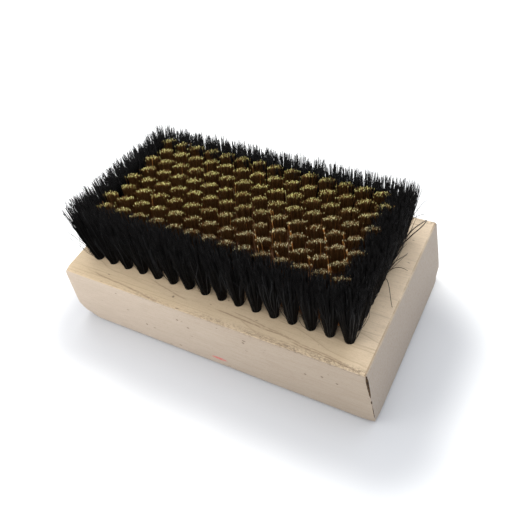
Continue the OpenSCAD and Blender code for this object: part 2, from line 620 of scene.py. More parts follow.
    def _end_masks(self, n: Nodes, x: Socket, z: Socket) -> tuple:
        """The sawn ends, and a broken dark brown line along the rounded arris where they meet the face,
        stronger towards the right.

        Args:
            n: The material's nodes.
            x: X on the object, in millimetres.
            z: Z on the object, in millimetres.

        Returns:
            How much of a place is sawn end, and how much is rim.
        """
        rise = n.math("SUBTRACT", z, self.top_z)
        reach = n.math("MULTIPLY_ADD", rise, self.end_slope, n.math("ABSOLUTE", x))
        outer = n.ramp(reach, self.half_length - 1.7, self.half_length - 1.2)
        facing = n.times(n.math("ABSOLUTE", n.split(n.own("Normal"))[0]), outer)
        end = n.ramp(facing, 0.45, 0.80)
        rim = n.band(facing, 0.10, 0.35, 0.55, 0.85)
        unevenness = self.rim_breaks
        marked = n.ramp(n.noise(unevenness.grain), unevenness.low, unevenness.high, 0.25, 1.0)
        return end, n.times(rim, marked, n.ramp(x, 0.0, 50.0, 0.2, 0.6))

    def _streak_lines(self, n: Nodes, x: Socket, y: Socket) -> Socket:
        """Single dark grain lines on the face, each from one place to another.

        Args:
            n: The material's nodes.
            x: X on the object, in millimetres.
            y: Y on the object, in millimetres.

        Returns:
            How much of a line shows.
        """
        wander = n.noise(self.streak_wander)
        total = 0.0
        for x_from, y_from, x_to, y_to, strength in self.streaks:
            slope = (y_to - y_from) / (x_to - x_from)
            fade = min(4.0, (x_to - x_from) / 2)
            off = n.math("MULTIPLY_ADD", wander, 1.6, n.math("MULTIPLY_ADD", x, -slope, y))
            off = n.math("ABSOLUTE", n.math("SUBTRACT", off, y_from - slope * x_from + 0.8))
            near = n.ramp(off, 0.08, 0.34, strength, 0.0)
            along = n.band(x, x_from, x_from + fade, x_to - fade, x_to)
            total = n.math("MAXIMUM", total, n.times(near, along))
        return n.times(total, n.layer(self.streak_gaps))

    def _late_wood(self, n: Nodes, x: Socket, y: Socket, z: Socket) -> Socket:
        """Thin dark lines where the wavy growth layers meet the surface.

        Args:
            n: The material's nodes.
            x: X on the object, in millimetres.
            y: Y on the object, in millimetres.
            z: Z on the object, in millimetres.

        Returns:
            How much late wood shows.
        """
        dy = n.math("SUBTRACT", n.math("MULTIPLY_ADD", x, self.slant, y), self.axis_y)
        dz = n.math("SUBTRACT", z, self.axis_z)
        square = n.math("ADD", n.times(dy, dy), n.times(dz, dz))
        moved = n.math("MULTIPLY_ADD", n.noise(self.wander), 14.0, n.math("SQRT", square))
        moved = n.math("MULTIPLY_ADD", n.noise(self.ripple), 1.5, moved)
        phase = n.math("FRACT", n.math("DIVIDE", moved, self.layer_pitch))
        broad = n.band(phase, 0.70, 0.95, 0.96, 1.0)
        core = n.band(phase, 0.90, 0.95, 0.96, 0.99)
        line = n.math("MULTIPLY_ADD", broad, 0.38, n.times(core, 0.75))
        return n.times(line, n.ramp(n.noise(self.faint), 0.35, 0.6, 0.35, 1.0))


@dataclass(frozen=True)
class ShadedTornWood:
    """Torn fibres inside the splintered corner, coloured nearly black as painted shade in its hollow."""

    # Painted shade: the hollow of the splinter is coloured nearly black.
    light: tuple = (0.16, 0.10, 0.06, 1.0)
    dark: tuple = (0.035, 0.022, 0.014, 1.0)
    fibre: Layer = Layer(Grain((4.0, 4.0, 0.5), 6.0, 3.0, 0.7), 0.4, 0.7)

    def make(self, name: str = "torn_wood_shaded") -> Material:
        """Build the material.

        Args:
            name: Name of the new material.

        Returns:
            The finished material.
        """
        n = Nodes(name)
        color = n.blend(n.layer(self.fibre), self.dark, self.light)
        normal = n.bump(n.noise(self.fibre.grain), 0.8, 0.15)
        return n.finish(color, 0.85, normal, Specular_IOR_Level=0.1)


@dataclass(frozen=True)
class BlackHair:
    """Black bristle: nearly black, with a soft sheen, and a little grey on some hairs as painted glints.

    A hair's tone runs from 0 to 1, and past 1 for the brown strays.
    """

    dark: tuple = (0.0054, 0.0048, 0.0048, 1.0)
    # Painted glints: a grey for the hairs of highest tone.
    grey_glint: tuple = (0.034, 0.034, 0.035, 1.0)
    brown: tuple = (0.022, 0.010, 0.005, 1.0)

    def make(self, name: str = "black_hair") -> Material:
        """Build the material.

        Args:
            name: Name of the new material.

        Returns:
            The finished material.
        """
        n = Nodes(name)
        tone = n.attribute("tone")
        # Painted glints: hairs of the highest tone turn grey.
        color = n.blend(n.ramp(tone, 0.92, 1.0), self.dark, self.grey_glint)
        color = n.blend(n.ramp(tone, 1.5, 2.0), color, self.brown)
        rough = n.ramp(tone, 0.0, 1.0, 0.60, 0.38)
        return n.finish(color, rough, Specular_IOR_Level=0.09)


@dataclass(frozen=True)
class BrassWire:
    """Brass wire: brown down its dulled shank, darker just below the tip with painted shade, and pale at the
    tip, partly worn and partly a painted highlight.

    The tips turn from a dull to a yellow brass across the brush. A wire's tone runs from 0 to 1,
    and past 1 for the strays and loose wires, which turn to a lit copper: painted light down the lanes.
    """

    shank: tuple = (0.42, 0.175, 0.055, 1.0)
    # Painted shade: darker brass just below the tips, where the tufts shade each other.
    middle: tuple = (0.172, 0.083, 0.027, 1.0)
    # Painted light: copper as lit by light falling down the lanes between tufts.
    lit_copper: tuple = (1.0, 0.45, 0.12, 1.0)
    dull_tip: tuple = (0.22, 0.19, 0.09, 1.0)
    # Pale tip colours: partly worn brass and partly a painted highlight of the cut ends.
    dull_pale: tuple = (0.88, 0.79, 0.46, 1.0)
    yellow_tip: tuple = (0.30, 0.28, 0.075, 1.0)
    yellow_pale: tuple = (0.98, 0.92, 0.38, 1.0)

    def make(self, name: str = "brass_wire") -> Material:
        """Build the material.

        Args:
            name: Name of the new material.

        Returns:
            The finished material.
        """
        n = Nodes(name)
        tone, along = n.attribute("tone"), n.attribute("along")
        x, y, _ = n.split(n.place)
        yellow = n.ramp(n.math("MULTIPLY_ADD", x, -0.4, y), -16.0, 4.0)
        tip = n.blend(yellow, self.dull_tip, self.yellow_tip)
        pale = n.blend(yellow, self.dull_pale, self.yellow_pale)
        # The wire darkens up its length towards the tip: painted shade.
        color = n.blend(n.ramp(along, 0.35, 0.85), self.shank, self.middle)
        # Tones past 1.5 turn to lit copper: painted light.
        color = n.blend(n.ramp(tone, 1.5, 2.0), color, self.lit_copper)
        # Pale tips, partly worn brass and partly a painted highlight, brighter with the wire's tone.
        bright = n.blend(n.ramp(tone, 0.60, 1.0), tip, pale)
        marked = n.times(n.ramp(along, 0.967, 0.995), n.ramp(tone, 0.30, 0.60))
        color = n.blend(marked, color, bright)
        rough = n.ramp(along, 0.85, 1.0, 0.50, 0.38)
        return n.finish(color, rough, Metallic=0.65)


@dataclass(frozen=True)
class AnchorWire:
    """Flat drawn steel wire, with fine lines along its length."""

    light: tuple = (0.62, 0.62, 0.63, 1.0)
    dull: tuple = (0.40, 0.40, 0.41, 1.0)
    drawn: Layer = Layer(Grain((8.0, 0.3, 14.0), 4.0, 3.0), 0.35, 0.7)

    def make(self, name: str = "anchor_wire") -> Material:
        """Build the material.

        Args:
            name: Name of the new material.

        Returns:
            The finished material.
        """
        n = Nodes(name)
        color = n.blend(n.layer(self.drawn), self.light, self.dull)
        lines = n.noise(self.drawn.grain)
        rough = n.ramp(lines, 0.3, 0.7, 0.28, 0.45)
        return n.finish(color, rough, n.bump(lines, 0.3, 0.02), Metallic=1.0)


@dataclass(frozen=True)
class PaperWithPaintedShade:
    """Pale floor of the studio, white further out, with a painted shadow in light grey round the brush."""

    # Painted shadow of the brush on the floor: grey near it, white further out.
    near: tuple = (0.552, 0.556, 0.574, 1.0)
    far: tuple = (0.97, 0.97, 0.97, 1.0)
    middle: tuple = (5.0, -15.5, 0.0)
    half: tuple = (52.5, 17.0, 1000.0)
    fade_from: float = 10.0
    fade_to: float = 34.0
    mottle: Grain = Grain((0.02, 0.02, 0.02))

    def make(self, name: str = "paper_with_painted_shade") -> Material:
        """Build the material.

        Args:
            name: Name of the new material.

        Returns:
            The finished material.
        """
        n = Nodes(name)
        away = n.vector("ABSOLUTE", n.vector("SUBTRACT", n.place, self.middle))
        away = n.vector("MAXIMUM", n.vector("SUBTRACT", away, self.half), (0.0, 0.0, 0.0))
        distance = n.vector("LENGTH", away)
        distance = n.math("MULTIPLY_ADD", n.noise(self.mottle), 4.0, distance)
        color = n.blend(n.ramp(distance, self.fade_from, self.fade_to), self.near, self.far)
        return n.finish(color, 0.9, Specular_IOR_Level=0.0)


# The drilled field


@dataclass(frozen=True)
class TuftField:
    """Where the tuft holes lie on the block's face."""

    face_length: float
    block_width: float
    columns: int = 16
    rows: int = 10
    end_margin: float = 8.4
    side_margin: float = 9.0
    row_shift: float = 1.25
    hole_diameter: float = 3.0
    hole_depth: float = 11.0

    def outward(self, column: int, row: int) -> np.ndarray:
        """Direction away from the middle for the outer ring, and zero inside it."""
        x = (column == self.columns - 1) - (column == 0)
        y = (row == self.rows - 1) - (row == 0)
        return np.array([x, y], dtype=float)

    def shift(self, column: int, row: int) -> float:
        """Sideways shift of a hole: the black ring is straight, the brass rows zigzag."""
        if self.outward(column, row).any():
            return 0.0
        return self.row_shift if row % 2 == 1 else -self.row_shift

    def centre(self, column: int, row: int) -> np.ndarray:
        """Middle of a hole on the face.

        Args:
            column: Column of the hole.
            row: Row of the hole.

        Returns:
            Its X and Y.
        """
        column_pitch = (self.face_length - 2 * self.end_margin) / (self.columns - 1)
        row_pitch = (self.block_width - 2 * self.side_margin) / (self.rows - 1)
        x = (column - (self.columns - 1) / 2) * column_pitch + self.shift(column, row)
        y = (row - (self.rows - 1) / 2) * row_pitch
        return np.array([x, y])

    def holes(self) -> list:
        """Column and row of every hole."""
        return [(c, r) for r in range(self.rows) for c in range(self.columns)]


# Wooden block


@dataclass
class WoodBlock:
    """Block with rounded back edges, eased arrises, tuft holes and a splintered corner.

    It is made upright, as long as its face, and then both ends are slanted outwards
    towards the back by the flare. A knock is the corner that was hit, how far the blow
    reaches and where it pushes the wood. A splinter is its upper end, its lower end and
    its width. A bite is the slot in a hole's wall that an anchor's ends have pressed.
    """

    field: TuftField
    low: np.ndarray
    high: np.ndarray
    flare: float
    node: str = "wood_block"
    back_round: float = 2.0
    face_ease: float = 0.35
    end_ease: float = 0.9
    corner_ease: float = 0.6
    back_corner_ease: float = 1.6
    grid: float = 2.2
    knocks: tuple = (
        ((-52.5, -30.0, 25.0), 1.4, (0.4, 0.4, -0.55)),
        ((52.5, -30.0, 0.0), 3.2, (-0.45, 0.45, 0.2)),
        ((52.5, 30.0, 0.0), 5.0, (-0.9, -0.9, 0.5)),
        ((-52.5, -30.0, 0.0), 6.0, (1.5, 1.0, 0.6)),
    )
    knock_power: float = 0.8
    unevenness: float = 0.10
    wear_reach: float = 0.5
    wear_bias: float = 0.45
    wear_waves: int = 7
    hole_sides: int = 20
    hole_clearance: float = 1.0
    bite: tuple = (0.41, 4.06, 1.86)
    bite_z: float = 15.8
    splinters: tuple = ((24.75, 14.2, 1.05), (12.9, 11.2, 0.60), (10.8, 1.6, 0.26))
    splinter_rings: int = 9
    splinter_clearance: float = 0.6
    seed: int = 7
    smooth_below: float = math.radians(32)

    def build(self) -> Thing:
        """Make the block's mesh, in the place of the plain one.

        Returns:
            The finished piece.
        """
        block = bmesh_object("wood_block_shaped", self._shell(), slots=2)
        cut_out(block, bmesh_object("splinter_cutter", self._splinters(), slots=2))
        cut_out(block, bmesh_object("hole_cutter", self._holes()))
        cut_out(block, bmesh_object("bite_cutter", self._bites()))
        block.data.shade_smooth()
        block.data.set_sharp_from_angle(angle=self.smooth_below)
        self.piece = block
        return block

    def dress(self, wood: Material, torn: Material) -> None:
        """Give the block its wood, and the splintered corner its torn fibres in painted shade.

        Args:
            wood: Finish of the block.
            torn: Finish of the splintered corner, with painted shade.
        """
        for slot, material in enumerate((wood, torn)):
            self.piece.data.materials[slot] = material
        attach(self.piece, BODY)
        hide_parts(self.node)

    def _shell(self) -> BMesh:
        """Rounded and eased box with a grid fine enough for worn arrises.

        Returns:
            The shell, in millimetres.
        """
        bm = bmesh.new()
        middle = (self.high + self.low) / 2
        add_box(bm, self.high - self.low, middle)
        bottom = [e for e in bm.edges if all(v.co.z < middle[2] for v in e.verts)]
        self._bevel(bm, bottom, self.back_round, 8)
        top = [e for e in bm.edges if all(abs(v.co.z - self.high[2]) < 1e-6 for v in e.verts)]
        ends = [e for e in top if abs(e.verts[0].co.x - e.verts[1].co.x) < 1e-6]
        self._bevel(bm, ends, self.end_ease, 4)
        self._bevel(bm, [e for e in bm.edges if self._is_long_arris(e)], self.face_ease, 3)
        for soft, ease, segments in ((True, self.back_corner_ease, 4), (False, self.corner_ease, 3)):
            upright = [e for e in bm.edges if self._is_upright(e) and self._is_soft(e) == soft]
            self._bevel(bm, upright, ease, segments)
        self._slice(bm)
        self._wear_down(bm)
        self._knock_in(bm)
        self._slant(bm)
        bmesh.ops.recalc_face_normals(bm, faces=bm.faces)
        return bm

    def _is_long_arris(self, edge: BMEdge) -> bool:
        """True for the edges along the front and back of the face, round ends included."""
        across = max(abs(self.low[1]), abs(self.high[1]))
        low = self.high[2] - self.end_ease - 1e-4
        return all(abs(abs(v.co.y) - across) < 1e-5 and v.co.z > low for v in edge.verts)

    def _is_upright(self, edge: BMEdge) -> bool:
        """True for the long vertical corner edges."""
        a, b = (v.co for v in edge.verts)
        flat = math.hypot(a.x - b.x, a.y - b.y)
        return flat < 1e-4 and abs(a.z - b.z) > self.back_round * 2

    @staticmethod
    def _is_soft(edge: BMEdge) -> bool:
        """True for the edges of the softer corner at the back right."""
        return all(v.co.x > 0 and v.co.y > 0 for v in edge.verts)

    @staticmethod
    def _bevel(bm: BMesh, edges: list, offset: float, segments: int) -> None:
        """Round edges over with circular arcs."""
        arc = {"affect": "EDGES", "profile": 0.5, "material": -1, "clamp_overlap": True}
        bmesh.ops.bevel(bm, geom=edges, offset=offset, segments=segments, **arc)

    def _slice(self, bm: BMesh) -> None:
        """Cut the shell by planes along X, Y and Z, to give it a grid.

        Args:
            bm: The bmesh to work on.
        """
        for axis in range(3):
            normal = Vector([1.0 if k == axis else 0.0 for k in range(3)])
            count = int((self.high[axis] - self.low[axis]) / self.grid)
            for step in range(1, count):
                at = self.low[axis] + (self.high[axis] - self.low[axis]) * step / count
                geometry = bm.verts[:] + bm.edges[:] + bm.faces[:]
                bmesh.ops.bisect_plane(
                    bm, geom=geometry, dist=1e-5, plane_co=normal * at, plane_no=normal
                )

    def _wear_down(self, bm: BMesh) -> None:
        """Dent the arrises a little, unevenly along their length.

        Args:
            bm: The bmesh to work on.
        """
        rng = np.random.default_rng(self.seed)
        waves = [
            (rng.uniform(0.15, 1.1, 3), rng.uniform(0, 6.28)) for _ in range(self.wear_waves)
        ]
        middle = (self.high + self.low) / 2
        half = (self.high - self.low) / 2
        for v in bm.verts:
            rel = (np.array(v.co) - middle) / half
            inset = np.sort((1.0 - np.abs(rel)) * half)
            nearness = max(0.0, 1.0 - inset[1] / self.wear_reach)
            if nearness <= 0.0 or v.co.z < self.low[2] + self.back_round:
                continue
            swell = sum(math.sin(float(np.dot(k, v.co)) + p) for k, p in waves)
            dent = max(0.0, swell / self.wear_waves + self.wear_bias)
            inward = Vector([-math.copysign(1.0, r) if 1 - abs(r) < 0.03 else 0.0 for r in rel])
            if inward.length > 0:
                v.co += inward.normalized() * self.unevenness * dent * nearness

    def _knock_in(self, bm: BMesh) -> None:
        """Blunt the corners that were hit.

        Args:
            bm: The bmesh to work on.
        """
        for place, reach, push in self.knocks:
            for v in bm.verts:
                away = (v.co - Vector(place)).length
                if away < reach:
                    v.co += Vector(push) * (1 - away / reach) ** self.knock_power

    def _slant(self, bm: BMesh) -> None:
        """Move both ends outwards, more and more from the face to the back.

        Args:
            bm: The bmesh to work on.
        """
        rise = self.high[2] - self.back_round
        for v in bm.verts:
            share = min(1.0, max(0.0, (self.high[2] - v.co.z) / rise))
            v.co.x *= 1.0 + self.flare * share / self.high[0]

    def _splinters(self) -> BMesh:
        """Long thin wedges along the front right corner edge.

        Returns:
            The wedges, in millimetres.
        """
        rng = np.random.default_rng(self.seed + 1)
        bm = bmesh.new()
        shares = [k / (self.splinter_rings - 1) for k in range(self.splinter_rings)]
        for splinter in self.splinters:
            rings = [self._splinter_ring(bm, rng, share, *splinter) for share in shares]
            bm.faces.new(rings[0])
            for upper, lower in zip(rings, rings[1:]):
                for a, b in ((0, 1), (1, 2), (2, 3), (3, 0)):
                    bm.faces.new((upper[a], upper[b], lower[b], lower[a]))
            bm.faces.new(rings[-1][::-1])
        bmesh.ops.recalc_face_normals(bm, faces=bm.faces)
        for f in bm.faces:
            f.material_index = 1
        self._slant(bm)
        return bm

    def _splinter_ring(
        self, bm: BMesh, rng: Chance, share: float, top: float, bottom: float, width: float
    ) -> list:
        """Four corners of a splinter, at a share of its way down, wider in its middle.

        Args:
            bm: The bmesh to work on.
            rng: Source of all chance here.
            share: Share of the way down.
            top: Height of the splinter's upper end.
            bottom: Height of its lower end.
            width: Its greatest width.

        Returns:
            The four corners, in order.
        """
        swell = math.sin(math.pi * min(1.0, share * 0.92 + 0.08)) ** 0.6
        reach = width * swell * rng.uniform(0.8, 1.1) + 0.02
        deep = reach * rng.uniform(0.55, 0.8)
        out = self.splinter_clearance
        corners = ((-deep, reach * 0.42), (-reach * 0.55, -out), (out, -out), (out, reach))
        z = top + (bottom - top) * share
        return [bm.verts.new((self.high[0] + x, self.low[1] + y, z)) for x, y in corners]

    def _holes(self) -> BMesh:
        """All tuft holes.

        Returns:
            One cylinder for each hole, in millimetres.
        """
        height = self.field.hole_depth + self.hole_clearance
        middle_z = self.high[2] - self.field.hole_depth + height / 2
        bm = bmesh.new()
        for hole in self.field.holes():
            middle = (*self.field.centre(*hole), middle_z)
            add_cylinder(bm, self.field.hole_diameter / 2, height, self.hole_sides, middle)
        return bm

    def _bites(self) -> BMesh:
        """The slots in the hole walls that the anchors' ends have bitten.

        Returns:
            One box for each hole, in millimetres.
        """
        bm = bmesh.new()
        for hole in self.field.holes():
            add_box(bm, self.bite, (*self.field.centre(*hole), self.bite_z))
        return bm


# Tufts


@dataclass(frozen=True)
class TuftKind:
    """What one kind of tuft is made of, and how it stands.

    Attributes:
        steps: Where a strand has its rings, as shares of its length.
        tip_spread: Half widths of the ellipse that the tips fill.
        turned: Degrees by which that ellipse is turned.
        outer_share: Extra width where a tuft of the ring has nothing beside it.
        collar: Height over the face where the strands start to part.
        flare: How late they part, as a power.
        splay: Share of the way out that is kept for the last part of a strand.
        lean: How far the tips lean outwards at the left, right, front and back.
        comb: Shift along X, then Y: a fixed part, and parts of the tuft's own X and Y.
        sweep: Shift along X towards the left end, at the front and at the back.
        dome: How much lower the tips are at both sides of the tuft.
        ragged: Spread of the lengths.
        scatter: Spread of the tips round their places.
        clumping: Share of the way that a tip moves to the nearest clump.
        wave: Width of the waves in a wire.
        bow: Spread of the bends.
        astray: Share of loose strands.
        stunted: How much shorter a loose strand can be.
    """

    slot: Slot
    strands: int
    strand_radius: float
    tip_radius_share: float
    sides: int
    steps: tuple
    bound_radius: float
    tip_spread: tuple
    turned: float = 0.0
    outer_share: float = 0.0
    collar: float = 0.0
    flare: float = 1.0
    splay: float = 0.0
    lean: tuple = (0.0, 0.0, 0.0, 0.0)
    comb: tuple = ((0.0, 0.0, 0.0), (0.0, 0.0, 0.0))
    sweep: tuple = (0.0, 0.0)
    height: float = 20.0
    dome: float = 0.0
    ragged: float = 0.0
    scatter: tuple = (0.0, 0.0)
    clumps: int = 0
    clumping: float = 0.0
    wave: float = 0.0
    bow: float = 0.0
    astray: float = 0.0
    stunted: float = 0.0


BLACK_TUFT = TuftKind(
    slot=Slot.BLACK,
    strands=376,
    strand_radius=0.082,
    tip_radius_share=0.55,
    sides=3,
    steps=(0.0, 0.11, 0.24, 0.45, 0.72, 1.0),
    bound_radius=1.42,
    tip_spread=(3.75, 3.5),
    outer_share=0.25,
    collar=0.95,
    flare=0.52,
    splay=0.34,
    lean=(1.6, -0.2, -1.2, -0.3),
    comb=((0.5, 0.006, 0.015), (0.8, -0.010, 0.018)),
    sweep=(-1.7, 2.7),
    height=20.5,
    ragged=0.95,
    scatter=(0.52, 0.52),
    clumps=30,
    clumping=0.32,
    bow=0.30,
    astray=0.07,
    stunted=9.0,
)

BRASS_TUFT = TuftKind(
    slot=Slot.BRASS,
    strands=116,
    strand_radius=0.084,
    tip_radius_share=1.0,
    sides=4,
    steps=(0.0, 0.3, 0.65, 0.965, 1.0),
    bound_radius=1.38,
    tip_spread=(2.35, 0.55),
    turned=25.0,
    collar=0.4,
    flare=0.95,
    comb=((1.25, 0.013, 0.032), (1.65, -0.021, 0.036)),
    sweep=(-2.7, 0.5),
    height=19.8,
    dome=0.70,
    ragged=0.42,
    scatter=(0.50, 0.24),
    wave=0.10,
    bow=0.32,
    astray=0.02,
)


@dataclass(frozen=True)
class Stray:
    """A wisp that left its tuft.

    Attributes:
        points: Four places from its root to its tip, in millimetres.
        tone: Tone of its strands.
        radius: Radius of a strand at its root.
        count: Number of strands in the wisp.
        bright: True for a wire painted in its tip's pale colour from root to tip, a painted highlight.
    """

    points: tuple
    tone: float
    radius: float = 0.09
    count: int = 1
    bright: bool = False


STRAYS = {
    "black_tufts_front": (
        Stray(((-44.3, -21.6, 25), (-48.8, -21.0, 32.0), (-52.0, -20.9, 37.2), (-54.4, -21.0, 41.2)), 0.5),
        Stray(((-44.6, -21.4, 25), (-49.6, -21.0, 30.5), (-53.4, -20.9, 34.8), (-56.1, -21.0, 38.3)), 0.6),
        Stray(((-44.6, -20.8, 25), (-49.0, -21.6, 30.0), (-52.0, -22.4, 34.6), (-54.2, -23.0, 37.6)), 0.9),
        Stray(
            ((-43.9, -21.9, 25), (-48.2, -23.0, 31.2), (-52.3, -23.0, 32.6), (-57.2, -23.0, 31.9)),
            0.97,
            0.07,
        ),
        Stray(((-44.2, -21.9, 25), (-47.8, -22.6, 28.6), (-50.2, -22.9, 30.6), (-52.0, -23.0, 32.9)), 0.95),
    ),
    "black_tufts_left_end": (
        Stray(((-43.6, -16.4, 25), (-49.0, -18.6, 32), (-51.9, -20.0, 38.5), (-53.6, -20.9, 42.4)), 0.5),
    ),
    "black_tufts_right_end": (
        Stray(((44.6, 12.0, 25), (47.6, 15.2, 30.0), (49.2, 20.6, 29.3), (49.8, 27.6, 27.0)), 2.0, 0.25),
        Stray(((44.4, 12.4, 25), (47.4, 15.7, 31.0), (48.8, 21.4, 30.3), (49.9, 27.4, 27.6)), 1.95, 0.25),
        Stray(((45.0, 2.8, 25), (46.6, 4.6, 27.6), (48.6, 6.0, 27.9), (50.9, 6.8, 26.5)), 2.0, 0.13),
        Stray(((44.8, 2.0, 25), (47.0, 0.6, 27.0), (49.4, -3.8, 26.9), (51.2, -7.0, 25.8)), 1.9, 0.13),
        Stray(((44.6, 3.4, 25), (46.8, 5.9, 29.0), (48.1, 8.7, 28.9), (49.1, 11.9, 28.0)), 1.9, 0.15),
        Stray(((44.8, 3.6, 25), (47.4, 6.7, 28.0), (48.4, 9.9, 27.9), (48.9, 12.2, 27.0)), 1.7),
    ),
    "black_tufts_back": (
        Stray(((44.6, 20.2, 25), (46.8, 19.4, 33.0), (49.6, 20.0, 36.5), (51.6, 22.6, 35.3)), 0.9, 0.11),
        Stray(((44.6, 20.6, 25), (47.2, 19.6, 34.0), (49.6, 20.4, 39.5), (51.4, 22.2, 41.6)), 0.9, 0.11),
    ),
    "brass_tufts_row_6": (
        # A wire pale from root to tip: a painted highlight.
        Stray(((10.4, 7.9, 25), (11.2, 9.0, 32), (11.6, 9.3, 38.5), (11.7, 9.3, 44.6)), 0.95, 0.11, 1, True),
    ),
}


@dataclass(frozen=True)
class LaneWires:
    """Wires in a lit copper that stand in the lane beside their own brass tuft; the copper is painted light
    falling down the lane.

    Attributes:
        tips: X and Y of each wisp's tips, its tone and its number of wires.
        bends: Shares of the way from root to tip, with the height at each.
        radius: Radius of a wire.
        root_reach: How far from the middle of its hole a wisp comes out.
    """

    tips: tuple = (
        (11.0, 0.9, 2.0, 4), (13.5, -3.0, 2.0, 3), (15.9, -6.7, 1.9, 3), (18.3, -10.3, 1.9, 2),
        (20.1, -13.4, 1.8, 3), (18.5, -2.1, 2.0, 5), (20.5, -5.3, 2.0, 3), (22.7, -8.7, 1.9, 2),
        (24.6, -11.8, 1.9, 2), (26.6, -15.8, 2.0, 4), (28.9, -0.9, 2.0, 5), (30.8, -4.1, 1.9, 2),
        (32.5, -7.3, 1.9, 2), (34.2, -10.4, 2.0, 3), (35.7, -12.9, 2.0, 5), (36.8, -15.0, 1.9, 3),
        (34.5, -0.6, 2.0, 3), (35.7, -3.4, 2.0, 3), (38.0, -6.4, 1.8, 3), (39.3, -9.0, 1.8, 2),
        (11.7, -9.9, 1.8, 2), (14.3, -13.4, 1.8, 2), (29.6, -12.1, 1.9, 3), (31.2, -14.5, 1.8, 2),
        (10.6, -8.2, 1.8, 1),
    )
    bends: tuple = ((0.0, 25.0), (0.62, 31.5), (0.96, 38.0), (1.0, 44.3))
    radius: float = 0.10
    root_reach: float = 0.9

    def strays(self, field: TuftField, comb: tuple, row: int) -> list:
        """Wisps of one row, each tied to the combed brass tuft that is nearest under it.

        Args:
            field: The drilled field.
            comb: How far a tuft's tips are combed away from its hole.
            row: The row of brass tufts.

        Returns:
            The row's wisps, in the order of the tips.
        """
        inner = [h for h in field.holes() if not field.outward(*h).any()]
        found = []
        for x, y, tone, count in self.tips:
            tip = np.array([x, y])
            moved = tip - [c[0] + c[1] * x + c[2] * y for c in comb]
            hole = min(inner, key=lambda h: np.linalg.norm(field.centre(*h) - moved))
            if hole[1] == row:
                root = field.centre(*hole)
                root = root + (tip - root) / np.linalg.norm(tip - root) * self.root_reach
                points = tuple((*(root + (tip - root) * share), z) for share, z in self.bends)
                found.append(Stray(points, tone, self.radius, count))
        return found


@dataclass
class StrandSheaf:
    """Gathers strands as thin tubes and turns them into one mesh.

    Each point carries the tone of its strand and the share of the length that it is at.
    """

    sides: int
    points: list = field(default_factory=list)
    faces: list = field(default_factory=list)
    tones: list = field(default_factory=list)
    shares: list = field(default_factory=list)
    count: int = 0

    def add(self, paths: np.ndarray, radii: np.ndarray, tone: np.ndarray, steps: tuple) -> None:
        """Add tubes with flat tips along many paths at once.

        Args:
            paths: Strands by rings by 3, in millimetres.
            radii: Radius of each ring.
            tone: One number for each strand.
            steps: Share of the strand's length at each ring.
        """
        strands, rings, _ = paths.shape
        tangent = np.gradient(paths, axis=1)
        tangent /= np.linalg.norm(tangent, axis=2, keepdims=True) + 1e-9
        side = np.cross(tangent, np.array([0.0, 1.0, 0.15]))
        side /= np.linalg.norm(side, axis=2, keepdims=True) + 1e-9
        up = np.cross(tangent, side)
        turn = 2 * math.pi * np.arange(self.sides) / self.sides
        circle = (
            side[:, :, None, :] * np.cos(turn)[None, None, :, None]
            + up[:, :, None, :] * np.sin(turn)[None, None, :, None]
        )
        tube = paths[:, :, None, :] + circle * radii[None, :, None, None]
        around = np.arange(self.sides)
        start = self.count + np.arange(strands * rings).reshape(strands, rings, 1) * self.sides
        near = start[:, :-1] + around
        far = start[:, :-1] + (around + 1) % self.sides
        quads = np.stack([near, far, far + self.sides, near + self.sides], axis=-1)
        self.faces.extend(quads.reshape(-1, 4).tolist())
        self.faces.extend((start[:, -1] + around).tolist())
        share = np.tile(np.repeat(np.array(steps), self.sides), strands)
        self._gather(tube.reshape(-1, 3), np.repeat(tone, rings * self.sides), share)

    def add_solid(self, points: np.ndarray, faces: list) -> None:
        """Add a ready-made solid, such as a bound root."""
        self.faces.extend([[k + self.count for k in f] for f in faces])
        self._gather(points, np.zeros(len(points)), np.zeros(len(points)))

    def _gather(self, points: np.ndarray, tones: np.ndarray, shares: np.ndarray) -> None:
        """Keep points, with a tone and a share of its length for each.

        Args:
            points: Points to keep.
            tones: Tone at each point.
            shares: Share of its length at each point.
        """
        self.points.append(points)
        self.tones.append(tones)
        self.shares.append(shares)
        self.count += len(points)

    def mesh(self, name: str) -> bpy.types.Mesh:
        """Turn everything gathered into a mesh, in metres.

        Args:
            name: Name of the new mesh.

        Returns:
            The finished mesh.
        """
        made = bpy.data.meshes.new(name)
        made.from_pydata((np.concatenate(self.points) * MM).tolist(), [], self.faces)
        for key, values in (("tone", self.tones), ("along", self.shares)):
            layer = made.attributes.new(key, "FLOAT", "POINT")
            layer.data.foreach_set("value", np.concatenate(values).astype(np.float32))
        made.validate()
        made.shade_smooth()
        return made


@dataclass
class BoundRoot:
    """The folded, bound end of a tuft: a round plug with a window for its anchor."""

    top_z: float
    radius: float = 1.36
    sides: int = 16
    floor_z: float = 14.0
    window: tuple = (0.41, 6.0, 1.86)
    window_z: float = 15.8

    def template(self) -> tuple:
        """Points and faces of one root, in millimetres about its own axis.

        Returns:
            The points, and the faces by their numbers.
        """
        bm = bmesh.new()
        middle = (0.0, 0.0, (self.floor_z + self.top_z) / 2)
        add_cylinder(bm, self.radius, self.top_z - self.floor_z, self.sides, middle)
        root = bmesh_object("root_template", bm, 1.0)
        bm = bmesh.new()
        add_box(bm, self.window, (0.0, 0.0, self.window_z))
        cut_out(root, bmesh_object("window", bm, 1.0))
        points = np.array([v.co for v in root.data.vertices])
        faces = [list(p.vertices) for p in root.data.polygons]
        bpy.data.objects.remove(root)
        return points, faces


